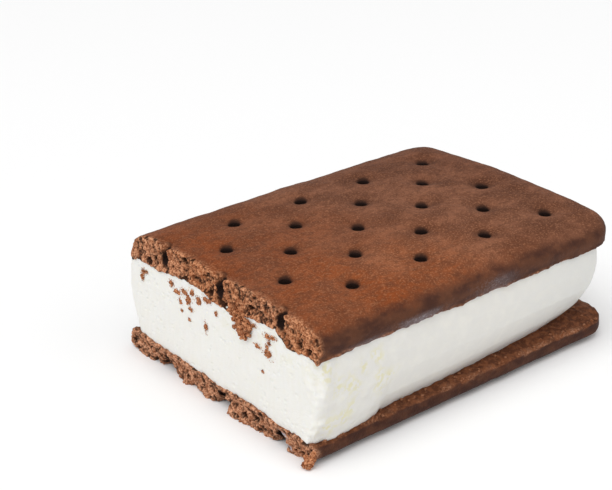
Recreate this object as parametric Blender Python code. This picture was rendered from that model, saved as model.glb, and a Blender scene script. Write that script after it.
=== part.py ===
"""An ice cream sandwich, cut across at one end: ice cream between two cocoa wafers.

Metres, +Z up. The origin lies under the middle of the sandwich, on the surface it rests on.
The cut end faces -X. The other three sides keep the rounded rims that the wafer mould gives.
Every shape is modelled with the docking holes' pattern centred on Y, and moved to the origin last.
"""

import math

import bmesh
import bpy
from mathutils import Matrix, Vector, noise

MM = 0.001

# The whole sandwich
HEIGHT = 24.2 * MM
CUT_X = -35.0 * MM  # the plane of the cut end
LAYER_GAP = 0.3 * MM  # between a wafer and the ice cream
TOP_TILT = math.radians(0.6)  # the top wafer lies lower at +Y

# Both wafers
WAFER_WIDTH = 49.2 * MM
WAFER_THICKNESS = {"top": 4.9 * MM, "bottom": 4.2 * MM}
WAFER_END_X = {"top": 32.2 * MM, "bottom": 34.6 * MM}  # the bottom wafer sticks out further
WAFER_SHIFT_Y = {"top": 0.2 * MM, "bottom": 1.1 * MM}  # the bottom wafer lies a little askew
END_BOW = 1.1 * MM  # the moulded end is fuller in its middle
CORNER_RADIUS = 5.0 * MM  # seen from above, at the two moulded corners
RIM_RADIUS = 2.2 * MM  # where the outer face turns down into the sides
CROWN = 0.9 * MM  # how much higher the top wafer's middle is than its rim
CROWN_Y = -3.0 * MM  # the line along which it is highest
CRUMBLE_FROM = 0.35  # share of the bottom wafer's thickness past which its cut edge has crumbled

# Docking holes: rows of three and of two by turns, the first row on the cut
HOLE_PITCH = 15.3 * MM  # across the sandwich
ROW_PITCH = 7.27 * MM  # along the sandwich
ROWS = 9
HOLE_MOUTH_RADIUS = 1.2 * MM
HOLE_FLOOR_RADIUS = 0.85 * MM
HOLE_DEPTH = 3.7 * MM
HOLE_SIDES = 10

# Ice cream
CREAM_WIDTH = 50.0 * MM
CREAM_END_X = 31.8 * MM
CREAM_CORNER_RADIUS = 4.0 * MM
CREAM_CUT_EDGE = 0.6 * MM  # the knife's edges, slightly melted
CREAM_BULGE = 1.2 * MM  # how far the sides swell at mid height
CREAM_DRAW_IN = 0.4 * MM  # how far the slab's top and foot lie inside its nominal width
CREAM_UNDERCUT = 5.0 * MM  # how far the foot draws in along -Y, at the moulded end
CREAM_LEAN_Y = 0.9 * MM  # the slab sits towards +Y

# Size of the facets
FACET = 4.2 * MM
CUT_FACET = 1.6 * MM  # finer along the broken edge
CORNER_CELL = 6.2 * MM  # one facet takes in each rounded corner
SHARP_ANGLE = math.radians(35)


def clear_scene():
    for obj in list(bpy.data.objects):
        bpy.data.objects.remove(obj, do_unlink=True)


def collection(name):
    made = bpy.data.collections.new(name)
    bpy.context.scene.collection.children.link(made)
    return made


def material(name, colour, roughness):
    made = bpy.data.materials.new(name)
    made.use_nodes = True
    shader = made.node_tree.nodes["Principled BSDF"]
    shader.inputs["Base Color"].default_value = (*colour, 1.0)
    shader.inputs["Roughness"].default_value = roughness
    shader.inputs["Metallic"].default_value = 0.0
    return made


def mesh_object(name, bm, into, finish=None):
    """The bmesh as a named object, with smooth shading over everything but sharp edges."""
    bmesh.ops.triangulate(bm, faces=bm.faces)
    bmesh.ops.recalc_face_normals(bm, faces=bm.faces)
    mesh = bpy.data.meshes.new(name)
    bm.to_mesh(mesh)
    bm.free()
    mesh.shade_smooth()
    mesh.set_sharp_from_angle(angle=SHARP_ANGLE)
    if finish:
        mesh.materials.append(finish)
    obj = bpy.data.objects.new(name, mesh)
    into.objects.link(obj)
    return obj


def block(low, high):
    """A bmesh box from one corner to the other."""
    bm = bmesh.new()
    bmesh.ops.create_cube(bm, size=1.0)
    bmesh.ops.scale(bm, vec=high - low, verts=bm.verts)
    bmesh.ops.translate(bm, vec=(low + high) / 2, verts=bm.verts)
    return bm


def near(a, b):
    return abs(a - b) < 1e-6


def on_cut(co):
    return near(co.x, CUT_X)


def share(value, low, high):
    """Where the value lies between low and high, from 0 to 1."""
    return min(1.0, max(0.0, (value - low) / (high - low)))


def edges_where(bm, test):
    """The edges whose two ends both pass the test."""
    return [edge for edge in bm.edges if all(test(vert.co) for vert in edge.verts)]


def round_edges(bm, edges, radius, segments):
    bmesh.ops.bevel(
        bm, geom=edges, offset=radius, segments=segments, profile=0.5, affect="EDGES", material=-1
    )


def slice_up(bm, axis, low, high, step, within=None):
    """Adds rings of edges along an axis, from low to high, so that the block can be shaped."""
    count = max(2, round((high - low) / step))
    normal = Vector((0.0, 0.0, 0.0))
    normal[axis] = 1.0
    for i in range(count + 1):
        faces = [f for f in bm.faces if within is None or within(f.calc_center_median())]
        edges = {edge for face in faces for edge in face.edges}
        verts = {vert for face in faces for vert in face.verts}
        level = normal * (low + (high - low) * i / count)
        bmesh.ops.bisect_plane(
            bm, geom=[*faces, *edges, *verts], plane_co=level, plane_no=normal, dist=1e-6
        )


def turn_over(bm, thickness):
    """Puts a wafer's outer face underneath, in the same space."""
    half_turn = Matrix.Rotation(math.pi, 3, "X")
    bmesh.ops.rotate(bm, verts=bm.verts, cent=(0.0, 0.0, thickness / 2), matrix=half_turn)


def crown_drop(along, y):
    """How far the top wafer's outer face lies below its highest point."""
    across = (y - CROWN_Y) / (WAFER_WIDTH / 2)
    return CROWN * (0.35 * (2 * along - 1) ** 2 + 0.65 * across**2)


def broken(y, z, crumble):
    """How far the broken face lies behind the plane of the cut, deeper where crumble is nearer 1.

    Coarse unevenness is several millimetres long, and fine unevenness the size of a crumb.
    """
    coarse = noise.noise(Vector((3.0, y / (6.0 * MM), z / (4.0 * MM))))
    fine = noise.noise(Vector((8.0, y / (2.1 * MM), z / (1.7 * MM))))
    return (0.4 + 0.35 * coarse + 0.4 * fine) * MM + crumble * (0.4 + 1.2 * fine) * MM


def wafer(which, into, cutters, finish):
    """One wafer, modelled with its outer face up and then, for the bottom one, turned over."""
    thickness = WAFER_THICKNESS[which]
    half_width = WAFER_WIDTH / 2
    end_x = WAFER_END_X[which]
    is_top = which == "top"
    bm = block(Vector((CUT_X, -half_width, 0.0)), Vector((end_x, half_width, thickness)))
    slice_up(bm, 0, CUT_X, end_x - CORNER_CELL, FACET)
    slice_up(bm, 1, CORNER_CELL - half_width, half_width - CORNER_CELL, FACET)
    corners = edges_where(bm, lambda co: near(co.x, end_x) and near(abs(co.y), half_width))
    round_edges(bm, corners, CORNER_RADIUS, 5)
    rim = [
        edge
        for edge in edges_where(bm, lambda co: near(co.z, thickness))
        if edge.calc_face_angle() > math.radians(80)
        and not all(on_cut(vert.co) for vert in edge.verts)
    ]
    round_edges(bm, rim, RIM_RADIUS, 3)
    slice_up(bm, 1, -half_width, half_width, CUT_FACET, on_cut)
    slice_up(bm, 2, 0.0, thickness, CUT_FACET, on_cut)
    for vert in bm.verts:
        x, y, z = vert.co
        outer = z / thickness
        along = share(x, CUT_X, end_x)
        vert.co.x += END_BOW * along**4 * (1 - (y / half_width) ** 2)
        if is_top:
            vert.co.z -= outer * crown_drop(along, y) + math.tan(TOP_TILT) * y
        if near(x, CUT_X):
            crumble = 0.0 if is_top else max(0.0, outer - CRUMBLE_FROM)
            vert.co.x += broken(y, z, crumble)
    if not is_top:
        turn_over(bm, thickness)
    base_z = HEIGHT - thickness if is_top else 0.0
    place = Vector((0.0, WAFER_SHIFT_Y[which], base_z))
    bmesh.ops.translate(bm, vec=place, verts=bm.verts)
    made = mesh_object(f"wafer_{which}", bm, into, finish)
    holes = made.modifiers.new("Docking holes", "BOOLEAN")
    holes.operation = "DIFFERENCE"
    holes.object = docking_pins(which, base_z, cutters)
    return made


def hole_places():
    """The middle of each docking hole: three in a row, then two between them, by turns."""
    for row in range(ROWS):
        count = 3 if row % 2 == 0 else 2
        for i in range(count):
            yield CUT_X + row * ROW_PITCH, (i - (count - 1) / 2) * HOLE_PITCH


def docking_pins(which, base_z, into):
    """The pins of the docking roller: tapered, blunt, and let into the wafer's outer face."""
    thickness = WAFER_THICKNESS[which]
    clear = 1.0 * MM  # each pin starts this far outside the wafer
    taper = (HOLE_MOUTH_RADIUS - HOLE_FLOOR_RADIUS) / HOLE_DEPTH
    length = HOLE_DEPTH + clear
    bm = bmesh.new()
    for x, y in hole_places():
        along = share(x, CUT_X, WAFER_END_X[which])
        sunk = crown_drop(along, y) + math.tan(TOP_TILT) * y if which == "top" else 0.0
        middle = Vector((x, y, thickness - sunk + clear - length / 2))
        bmesh.ops.create_cone(
            bm,
            cap_ends=True,
            segments=HOLE_SIDES,
            radius1=HOLE_FLOOR_RADIUS,
            radius2=HOLE_MOUTH_RADIUS + taper * clear,
            depth=length,
            matrix=Matrix.Translation(middle),
        )
    if which == "bottom":
        turn_over(bm, thickness)
    bmesh.ops.translate(bm, vec=(0.0, 0.0, base_z), verts=bm.verts)
    pins = mesh_object(f"docking_pins_{which}", bm, into)
    pins.hide_render = True
    pins.display_type = "WIRE"
    return pins


def ice_cream(into, finish):
    """The slab: moulded sides that swell, a foot that draws in along -Y, and a clean cut end.

    In the loop, up runs from the foot to the top, along from the cut to the moulded end, and
    side from -1 at the -Y face to 1 at the +Y face.
    """
    low_z = WAFER_THICKNESS["bottom"] + LAYER_GAP
    high_z = HEIGHT - WAFER_THICKNESS["top"] - LAYER_GAP
    half_width = CREAM_WIDTH / 2
    bm = block(Vector((CUT_X, -half_width, low_z)), Vector((CREAM_END_X, half_width, high_z)))
    for x, radius, segments in ((CREAM_END_X, CREAM_CORNER_RADIUS, 5), (CUT_X, CREAM_CUT_EDGE, 2)):
        upright = edges_where(bm, lambda co: near(co.x, x) and near(abs(co.y), half_width))
        round_edges(bm, upright, radius, segments)
    slice_up(bm, 0, CUT_X, CREAM_END_X, FACET)
    slice_up(bm, 1, -half_width, half_width, FACET * 1.5)
    slice_up(bm, 2, low_z, high_z, FACET / 2)
    for vert in bm.verts:
        x, y, z = vert.co
        up = share(z, low_z, high_z)
        along = share(x, CUT_X, CREAM_END_X)
        side = y / half_width
        swell = math.sin(math.pi * (0.12 + 0.76 * up)) ** 1.5
        vert.co.y += CREAM_LEAN_Y + (CREAM_BULGE * swell - CREAM_DRAW_IN) * side
        if side < 0:
            vert.co.y -= side * CREAM_UNDERCUT * math.sqrt(along) * (1 - up) ** 2
        vert.co.x += CREAM_BULGE * (swell - 0.6) * max(0.0, 2 * along - 1) ** 4
        vert.co.x += END_BOW * along**4 * (1 - side**2)
        vert.co.x += 0.35 * MM * (1 - along) * noise.noise(Vector((1.0, y, z)) / (7.0 * MM))
        vert.co.z -= up * math.tan(TOP_TILT) * y
    return mesh_object("ice_cream", bm, into, finish)


def centre_on_origin(objects):
    """Moves every piece alike, so that the origin is under the middle of the whole."""
    bpy.context.view_layer.update()
    graph = bpy.context.evaluated_depsgraph_get()
    corners = [Vector(corner) for obj in objects for corner in obj.evaluated_get(graph).bound_box]
    low = Vector(min(corner[axis] for corner in corners) for axis in range(3))
    high = Vector(max(corner[axis] for corner in corners) for axis in range(3))
    offset = Vector((-(low.x + high.x) / 2, -(low.y + high.y) / 2, -low.z))
    for obj in bpy.data.objects:
        obj.location += offset
    print("moved to the origin by", [round(value / MM, 2) for value in offset], "mm")


def main():
    clear_scene()
    parts = collection("Ice cream sandwich")
    cutters = collection("Cutters")
    cocoa = material("cocoa_wafer", (0.17, 0.068, 0.035), 0.8)
    vanilla = material("vanilla_ice_cream", (0.86, 0.85, 0.80), 0.5)
    pieces = [
        wafer("bottom", parts, cutters, cocoa),
        ice_cream(parts, vanilla),
        wafer("top", parts, cutters, cocoa),
    ]
    centre_on_origin(pieces)


main()
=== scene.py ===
# %% [markdown]
# # An ice cream sandwich, cut across at one end
#
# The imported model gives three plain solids: a cocoa wafer, a slab of ice cream and a second wafer.
# They have the right sizes, and this lesson gives them the looks of the real thing. Each solid is
# hidden, and a finer piece of the same size stands in for it.
#
# What makes the real one look real is mostly unevenness. A wafer that is baked, frozen and then cut
# with a knife has a broken, crumbly edge, rims that are darker and smoother than its middle, and a
# scatter of crumbs. So most cells below take a simple block and work it over, much as a sculptor would.

import math
import random

import bmesh
import bpy
from mathutils import Euler, Matrix, Vector, noise


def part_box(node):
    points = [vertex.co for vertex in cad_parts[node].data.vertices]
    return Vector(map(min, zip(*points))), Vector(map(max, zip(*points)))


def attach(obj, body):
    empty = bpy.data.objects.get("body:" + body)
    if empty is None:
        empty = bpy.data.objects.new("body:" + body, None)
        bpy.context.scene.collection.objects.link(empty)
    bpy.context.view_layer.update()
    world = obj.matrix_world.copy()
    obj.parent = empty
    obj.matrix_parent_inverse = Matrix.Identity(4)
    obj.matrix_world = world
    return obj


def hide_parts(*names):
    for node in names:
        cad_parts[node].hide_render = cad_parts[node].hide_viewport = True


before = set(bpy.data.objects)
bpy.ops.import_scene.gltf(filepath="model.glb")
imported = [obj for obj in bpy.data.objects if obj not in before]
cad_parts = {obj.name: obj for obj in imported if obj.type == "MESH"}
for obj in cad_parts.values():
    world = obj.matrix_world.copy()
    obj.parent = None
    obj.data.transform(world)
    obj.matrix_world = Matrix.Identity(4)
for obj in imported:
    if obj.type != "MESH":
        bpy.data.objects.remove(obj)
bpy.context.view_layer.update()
MM = 0.001

# %% [markdown]
# ## Sizes
#
# Everything is placed from the boxes of the three solids, so that the looks can't drift away from
# the model. The cut end faces -X, and the other three sides came out of a mould. The roller that
# pricks the wafers leaves rows of three and of two holes by turns, and the knife happened to run
# through a row of three.

# %% Sizes
TOP_LOW, TOP_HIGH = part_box("wafer_top")
BOTTOM_LOW, BOTTOM_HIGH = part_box("wafer_bottom")
_, CREAM_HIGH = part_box("ice_cream")
CUT_X = TOP_LOW.x
WAFER_THICKNESS = 4.9 * MM
TOP_INNER_Z = TOP_HIGH.z - WAFER_THICKNESS
HOLE_PITCH = 15.3 * MM
ROW_PITCH = 7.27 * MM
ROWS = [3, 2, 3, 2, 3, 2, 3, 2, 3]
PATTERN_Y = -0.94 * MM  # where the middle of every row lies
HOLE_MOUTH = 1.0 * MM
HOLE_FLOOR = 0.8 * MM
HOLE_DEPTH = 3.7 * MM
HOLES = [
    (CUT_X + row * ROW_PITCH, PATTERN_Y + (i - (count - 1) / 2) * HOLE_PITCH)
    for row, count in enumerate(ROWS)
    for i in range(count)
]
print(len(HOLES), "docking holes in each wafer")

# %% [markdown]
# ## The camera
#
# The camera comes early, because it decides how much detail a piece needs. It looks down at the
# cut corner from a little over the height of a person's eyes at a table, with a long lens, so the
# far end of the sandwich is drawn nearly as large as the near one.

# %% Camera
lens = bpy.data.cameras.new("camera")
lens.lens = 90.9
lens.sensor_width = 36.0
camera = bpy.data.objects.new("camera", lens)
camera.location = Vector((-162.1, -177.6, 132.1)) * MM
camera.rotation_euler = Euler((math.radians(90 - 25.35), 0.0, math.radians(-39.34)))
bpy.context.scene.collection.objects.link(camera)
bpy.context.scene.camera = camera
print("camera", round(camera.location.length / MM), "mm away")

# %% [markdown]
# ## Small tools
#
# `share` says how far along a value lies between two others, and `ease` does the same with a soft
# start and end. `hump` is 1 in one place and fades on both sides of it. `bumps` is smooth noise made
# for a size, so that `bumps(co, 2 * MM)` has bumps of 2 mm. `profile` reads a height off straight
# lines through a few points, for an outline that isn't regular.

# %% Small tools
def share(value, low, high):
    return min(1.0, max(0.0, (value - low) / (high - low)))


def ease(value, low, high):
    part = share(value, low, high)
    return part * part * (3 - 2 * part)


def hump(value, middle, wide):
    return math.exp(-(((value - middle) / wide) ** 2))


def bumps(co, size, seed=0.0):
    """Smooth noise from about -1 to 1, with bumps of that size."""
    return noise.noise(co / size + Vector((seed, 1.7 * seed, 2.3 * seed)))


def profile(points, value):
    """The height at a value, between points in millimetres given from low to high."""
    spot = value / MM
    for (a, height_a), (b, height_b) in zip(points, points[1:]):
        if spot <= b:
            return (height_a + (height_b - height_a) * share(spot, a, b)) * MM
    return points[-1][1] * MM


def same(a, b):
    return abs(a - b) < 1e-6


print("a quarter of the way, eased:", round(ease(0.25, 0.0, 1.0), 3))


# %% [markdown]
# ## Blocks
#
# Wafers and ice cream both come out of straight-sided moulds, so each starts as a cube that is
# scaled to size. An outline could be drawn and pulled up instead, but a bevel on a block gives
# exactly the rounding that a mould leaves. `round_off` looks only at upright edges, so a corner can
# be rounded without touching the rims above and below it.

# %% Blocks
def block(low, high):
    bm = bmesh.new()
    bmesh.ops.create_cube(bm, size=1.0)
    bmesh.ops.scale(bm, vec=high - low, verts=bm.verts)
    bmesh.ops.translate(bm, vec=(low + high) / 2, verts=bm.verts)
    return bm


def bevel(bm, edges, radius, segments):
    bmesh.ops.bevel(
        bm, geom=edges, offset=radius, segments=segments, profile=0.5, affect="EDGES", material=-1
    )


def round_off(bm, test, radius, segments):
    """Bevels the upright edges that pass the test."""
    edges = []
    for edge in bm.edges:
        start, end = (vert.co for vert in edge.verts)
        if same(start.x, end.x) and same(start.y, end.y) and test(start):
            edges.append(edge)
    bevel(bm, edges, radius, segments)


def object_from(name, bm):
    bmesh.ops.recalc_face_normals(bm, faces=bm.faces)
    mesh = bpy.data.meshes.new(name)
    bm.to_mesh(mesh)
    bm.free()
    obj = bpy.data.objects.new(name, mesh)
    bpy.context.scene.collection.objects.link(obj)
    return obj


# %% [markdown]
# ## Skins that can be sculpted
#
# A block's few big faces can't be sculpted. The Remesh modifier covers the shape in even little
# squares, and where the detail is fine, such as on the cut, each square is split in four. Splitting
# them all would give millions. Faces that the next layer hides are joined again, since nobody sees
# them. The last helper turns the sculpted skin into a piece, and stores painted values on its points
# for the finish to read.

# %% Skins
def even_skin(obj, spacing):
    """A bmesh of the object, modifiers applied, covered in even small squares."""
    remesh = obj.modifiers.new("Even skin", "REMESH")
    remesh.mode = "VOXEL"
    remesh.voxel_size = spacing
    graph = bpy.context.evaluated_depsgraph_get()
    mesh = bpy.data.meshes.new_from_object(obj.evaluated_get(graph))
    bm = bmesh.new()
    bm.from_mesh(mesh)
    bpy.data.meshes.remove(mesh)
    bpy.data.objects.remove(obj, do_unlink=True)
    return bm


def finer(bm, test, times):
    """Splits each face that passes the test into four, so many times over."""
    for _ in range(times):
        bm.normal_update()
        edges = dict.fromkeys(edge for face in bm.faces if test(face) for edge in face.edges)
        bmesh.ops.subdivide_edges(bm, edges=list(edges), cuts=1, use_grid_fill=True)
    bm.normal_update()


def coarser(bm, test):
    """Joins the hidden faces that pass the test."""
    faces = [face for face in bm.faces if test(face)]
    bmesh.ops.dissolve_faces(bm, faces=faces, use_verts=True)


def finished(name, bm, paint, finish):
    """The piece, smooth shaded, with each painted value stored on its points."""
    bmesh.ops.triangulate(bm, faces=bm.faces)
    bm.normal_update()
    values = {}
    for vert in bm.verts:
        for key, value in paint(vert).items():
            values.setdefault(key, []).append(value)
    piece = object_from(name, bm)
    piece.data.shade_smooth()
    for key, numbers in values.items():
        piece.data.attributes.new(key, "FLOAT", "POINT").data.foreach_set("value", numbers)
    piece.data.materials.append(finish)
    print(name, len(piece.data.polygons), "triangles")
    return piece


# %% [markdown]
# ## Writing shader maths as expressions
#
# A finish is a small web of nodes. Drawn in the editor it is easy to read, but written as calls it
# soon isn't, so one class wraps a socket and lets `+`, `-` and `*` add the Math nodes. Colours have
# their own call, `blend`, because a Math node would turn a colour grey.

# %% Shader maths
class Value:
    """A socket that changes over the surface."""

    def __init__(self, finish, socket):
        self.finish = finish
        self.socket = socket

    def maths(self, operation, *inputs):
        return self.finish.node("ShaderNodeMath", {"operation": operation}, dict(enumerate(inputs)))

    def __add__(self, other):
        return self.maths("ADD", self, other)

    def __sub__(self, other):
        return self.maths("SUBTRACT", self, other)

    def __rsub__(self, other):
        return self.maths("SUBTRACT", other, self)

    def __mul__(self, other):
        return self.maths("MULTIPLY", self, other)

    __radd__ = __add__
    __rmul__ = __mul__

    def between(self, low, high):
        """0 below low, 1 above high, and soft in between."""
        inputs = {"Value": self, "From Min": low, "From Max": high}
        return self.finish.node("ShaderNodeMapRange", {"interpolation_type": "SMOOTHSTEP"}, inputs)


class Finish:
    """A material that grows by one node a call."""

    def __init__(self, name):
        self.material = bpy.data.materials.new(name)
        self.material.use_nodes = True
        self.tree = self.material.node_tree
        self.shader = self.tree.nodes["Principled BSDF"]
        self.place = self.node("ShaderNodeTexCoord", output="Object")

    def node(self, kind, settings=None, inputs=None, output=0):
        made = self.tree.nodes.new(kind)
        for key, value in (settings or {}).items():
            setattr(made, key, value)
        for key, value in (inputs or {}).items():
            self.feed(made.inputs[key], value)
        return Value(self, made.outputs[output])

    def feed(self, socket, value):
        if isinstance(value, Value):
            self.tree.links.new(value.socket, socket)
        elif socket.type == "RGBA":
            socket.default_value = (*value, 1.0)
        else:
            socket.default_value = value

    def grain(self, size, detail=2.0, seed=0.0, stretch=(1.0, 1.0, 1.0)):
        """Soft noise from 0 to 1, with grains of that size."""
        inputs = {"Vector": self.place, "Location": (seed,) * 3, "Scale": stretch}
        moved = self.node("ShaderNodeMapping", {}, inputs)
        return self.node("ShaderNodeTexNoise", {}, {"Vector": moved, "Scale": 1 / size, "Detail": detail})

    def painted(self, name):
        """A value painted on the piece's points."""
        return self.node("ShaderNodeAttribute", {"attribute_name": name}, output="Fac")

    def blend(self, mask, first, second):
        """The first colour where the mask is 0, and the second where it is 1."""
        inputs = {0: mask, 6: first, 7: second}
        return self.node("ShaderNodeMix", {"data_type": "RGBA"}, inputs, output=2)

    def tinted(self, colour, tint):
        """The colour times the tint."""
        settings = {"data_type": "RGBA", "blend_type": "MULTIPLY"}
        return self.node("ShaderNodeMix", settings, {0: 1.0, 6: colour, 7: tint}, output=2)

    def set(self, **inputs):
        for name, value in inputs.items():
            self.feed(self.shader.inputs[name.replace("_", " ")], value)

    def rough_up(self, height, distance, strength=1.0):
        inputs = {"Height": height, "Distance": distance, "Strength": strength}
        self.set(Normal=self.node("ShaderNodeBump", {}, inputs))


# %% [markdown]
# ## The cocoa finish
#
# The wafer's baked skin is a warm mid brown, freckled with lighter specks a third of a millimetre
# across and clouded with darker patches. Towards the rims it is baked darker, almost purple, and
# smoother. Where the knife broke it, the crumb inside shows: lighter and more orange, with painted
# shade in its pits.
# The shapes carry painted values that say which is where, so one finish serves every cocoa piece.

# %% Cocoa colours
SKIN_BROWN = (0.112, 0.035, 0.014)
SKIN_LIGHT = (0.225, 0.080, 0.037)
SKIN_WARM = (0.232, 0.052, 0.009)
SKIN_PATCH = (0.118, 0.036, 0.014)
SKIN_MOTTLE = (0.095, 0.027, 0.009)
SKIN_FRECKLE = (0.37, 0.145, 0.066)
RIM_BROWN = (0.094, 0.029, 0.011)
RIM_DARK = (0.052, 0.014, 0.006)
RIM_MOTTLE = (0.15, 0.050, 0.022)
# painted shade in the funnels round the docking holes
FUNNEL_SHADE_BROWN = (0.030, 0.009, 0.003)
CRUMB_DARK = (0.25, 0.082, 0.032)
CRUMB_LIGHT = (0.74, 0.39, 0.235)
CRUMB_MOTTLE = (0.21, 0.062, 0.020)
INSIDE_DARK = (0.088, 0.027, 0.010)
INSIDE_LIGHT = (0.175, 0.058, 0.022)
INSIDE_FRECKLE = (0.30, 0.120, 0.052)
# painted shade for pits and holes; on loose crumbs the same brown makes random darker spots
SHADE_AND_SPOT_DARK = (0.013, 0.004, 0.002)
FROST_GREY = (0.50, 0.46, 0.49)
NO_TINT = (1.0, 1.0, 1.0)
WARM_TINT = (1.01, 0.90, 0.75)
# tints of painted shade and painted light on the skin
SHADED_TINT = (0.80, 0.83, 0.89)
LIT_TINT = (1.25, 1.40, 1.56)
CRUMB_TINT = (1.08, 1.08, 1.08)
WARM_CRUMB_TINT = (1.02, 0.88, 0.72)
print("the crumb is", round(CRUMB_LIGHT[0] / SKIN_LIGHT[0], 1), "times as bright as the skin")

# %% [markdown]
# ## Layers of cocoa
#
# The layers go on as a painter would lay them: first the skin with its clouds, patches and freckles,
# then the smooth rims, a tint of painted light and shade, and painted shade in the hole funnels, then
# the raw crumb where the wafer is broken, and last the painted shade in pits and holes, and the frost.
# Each layer is one blend, and its mask is noise or a painted value. A tint multiplies what is under
# it, so that it shifts the brown but keeps the freckles.

# %% Cocoa
def cocoa_finish():
    finish = Finish("cocoa_wafer")
    crumb = finish.painted("crumb")
    pit = finish.painted("pit")
    rim = finish.painted("rim")
    inside = finish.painted("inside")
    frosted = finish.painted("frost")
    warm = finish.painted("warm")
    pale = finish.painted("pale")
    funnel = finish.painted("funnel")
    fine = finish.grain(0.30 * MM, 2.0)
    small = finish.grain(0.9 * MM, 3.0, seed=3.1)
    clouds = finish.grain(4.5 * MM, 5.0, seed=7.7, stretch=(0.7, 1.0, 1.0))
    patchy = finish.grain(1.9 * MM, 3.0, seed=12.0, stretch=(0.6, 1.0, 1.0))

    # The baked skin
    skin = finish.blend(clouds.between(0.34, 0.64), SKIN_BROWN, SKIN_LIGHT)
    skin = finish.blend(warm * 0.95, skin, SKIN_WARM)
    skin = finish.blend(patchy.between(0.42, 0.66) * 0.55, skin, SKIN_PATCH)
    skin = finish.blend(small.between(0.42, 0.68) * 0.5, skin, SKIN_MOTTLE)
    skin = finish.blend(fine.between(0.48, 0.72) * 0.55, skin, SKIN_FRECKLE)
    skin = finish.tinted(skin, finish.blend(warm, NO_TINT, WARM_TINT))

    # The smooth rims, and the painted shade in the funnels round the docking holes
    smooth = finish.blend(patchy.between(0.35, 0.65), RIM_BROWN, RIM_DARK)
    smooth = finish.blend(small.between(0.5, 0.75) * 0.35, smooth, RIM_MOTTLE)
    skin = finish.blend((rim + (patchy - 0.5) * rim * 0.9).between(0.08, 0.95), skin, smooth)
    # painted light and shade: a pool of light in front on the top wafer, shade at its far end
    skin = finish.tinted(skin, finish.blend(pale, SHADED_TINT, LIT_TINT))
    skin = finish.blend(funnel * 0.85, skin, FUNNEL_SHADE_BROWN)

    # The inner face, in the shade, and the raw crumb
    dusk = finish.blend(small.between(0.4, 0.65), INSIDE_DARK, INSIDE_LIGHT)
    dusk = finish.blend(fine.between(0.55, 0.75) * 0.5, dusk, INSIDE_FRECKLE)
    raw = finish.blend(fine.between(0.3, 0.68), CRUMB_DARK, CRUMB_LIGHT)
    raw = finish.blend(small.between(0.45, 0.68) * 0.6, raw, CRUMB_MOTTLE)
    raw = finish.tinted(raw, finish.blend(warm, CRUMB_TINT, WARM_CRUMB_TINT))
    colour = finish.blend(inside, skin, dusk)
    colour = finish.blend(crumb, colour, raw)
    # painted shade in the pits of the cut and inside the docking holes, and darker spots on crumbs
    colour = finish.blend(pit, colour, SHADE_AND_SPOT_DARK)

    ice = frosted * (patchy.between(0.3, 0.7) * 0.6 + fine.between(0.45, 0.7) * 0.6)
    colour = finish.blend(ice * 0.45, colour, FROST_GREY)
    finish.set(Base_Color=colour, Roughness=0.82 - rim * 0.12 + crumb * 0.15, Specular_IOR_Level=0.22)
    grit = finish.grain(0.17 * MM, 2.0, seed=6.0)
    finish.rough_up(fine * 0.7 + small * 0.9 + crumb * (fine + grit), 0.15 * MM, 0.85)
    return finish.material


cocoa = cocoa_finish()
print("cocoa:", len(cocoa.node_tree.nodes), "nodes")


# %% [markdown]
# ## The ice cream's finish
#
# Frozen cream is bright, but it isn't paper: light goes a millimetre or two into it and comes out
# again, which softens every edge. That is the subsurface weight, and it is the same all over, so it is
# set on the shader itself. The colour barely changes. The moulded side is a touch cooler and darker
# than the cut, partly its own tone and partly painted shade, and painted shade greys it towards the
# far end. Near the cut corner the cream has melted and set again in a few yellowish patches.

# %% Ice cream finish
# the moulded side's white: its own cooler tone, darkened further by painted shade
SHADED_SIDE_WHITE = (0.735, 0.720, 0.680)
CUT_WHITE = (0.858, 0.850, 0.81)
CLOUD_WHITE = (0.86, 0.84, 0.76)
DRAG_WHITE = (0.82, 0.80, 0.73)
# painted shade for the far end of the long sides
FAR_SHADE_WHITE = (0.665, 0.665, 0.640)
MELTED_YELLOW = (0.72, 0.68, 0.42)


def cream_finish():
    finish = Finish("vanilla_ice_cream")
    melted = finish.painted("melted")
    cut = finish.painted("cut")
    far = finish.painted("far")
    small = finish.grain(0.5 * MM, 3.0, seed=1.3)
    clouds = finish.grain(2.0 * MM, 3.0, seed=5.0)
    lines = finish.grain(0.8 * MM, 2.0, seed=4.0, stretch=(1.0, 1.0, 0.2))
    spots = finish.grain(0.9 * MM, 2.0, seed=14.0).between(0.44, 0.57)
    pores = finish.grain(0.35 * MM, 3.0, seed=9.0, stretch=(1.0, 1.0, 1.6))
    # the side is darker than the cut, partly its own tone and partly painted shade
    white = finish.blend(cut, SHADED_SIDE_WHITE, CUT_WHITE)
    white = finish.blend(clouds.between(0.4, 0.75) * 0.25, white, CLOUD_WHITE)
    white = finish.blend((lines * cut).between(0.4, 0.75) * 0.3, white, DRAG_WHITE)
    # painted shade: the far end of the long sides is greyer
    white = finish.blend(far * 0.8, white, FAR_SHADE_WHITE)
    white = finish.blend(melted * spots * 0.85, white, MELTED_YELLOW)
    finish.set(Base_Color=white, Roughness=0.42 + cut * 0.22)
    finish.set(Subsurface_Weight=0.25, Subsurface_Radius=(1.0, 0.9, 0.7), Subsurface_Scale=1.2 * MM)
    finish.rough_up(pores * cut + small * 0.5 + clouds * 0.8, 0.14 * MM, 0.5)
    return finish.material


vanilla = cream_finish()
print("vanilla:", len(vanilla.node_tree.nodes), "nodes")


# %% [markdown]
# ## Where the docking holes lie
#
# The holes in the real wafer let steam out while it bakes. Much depends on them later: the skin
# dips round each, the finish paints shade into them, and the knife has opened one row. So two helpers
# answer how far a point is from the nearest hole, from the pattern itself and without searching them all.

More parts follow.
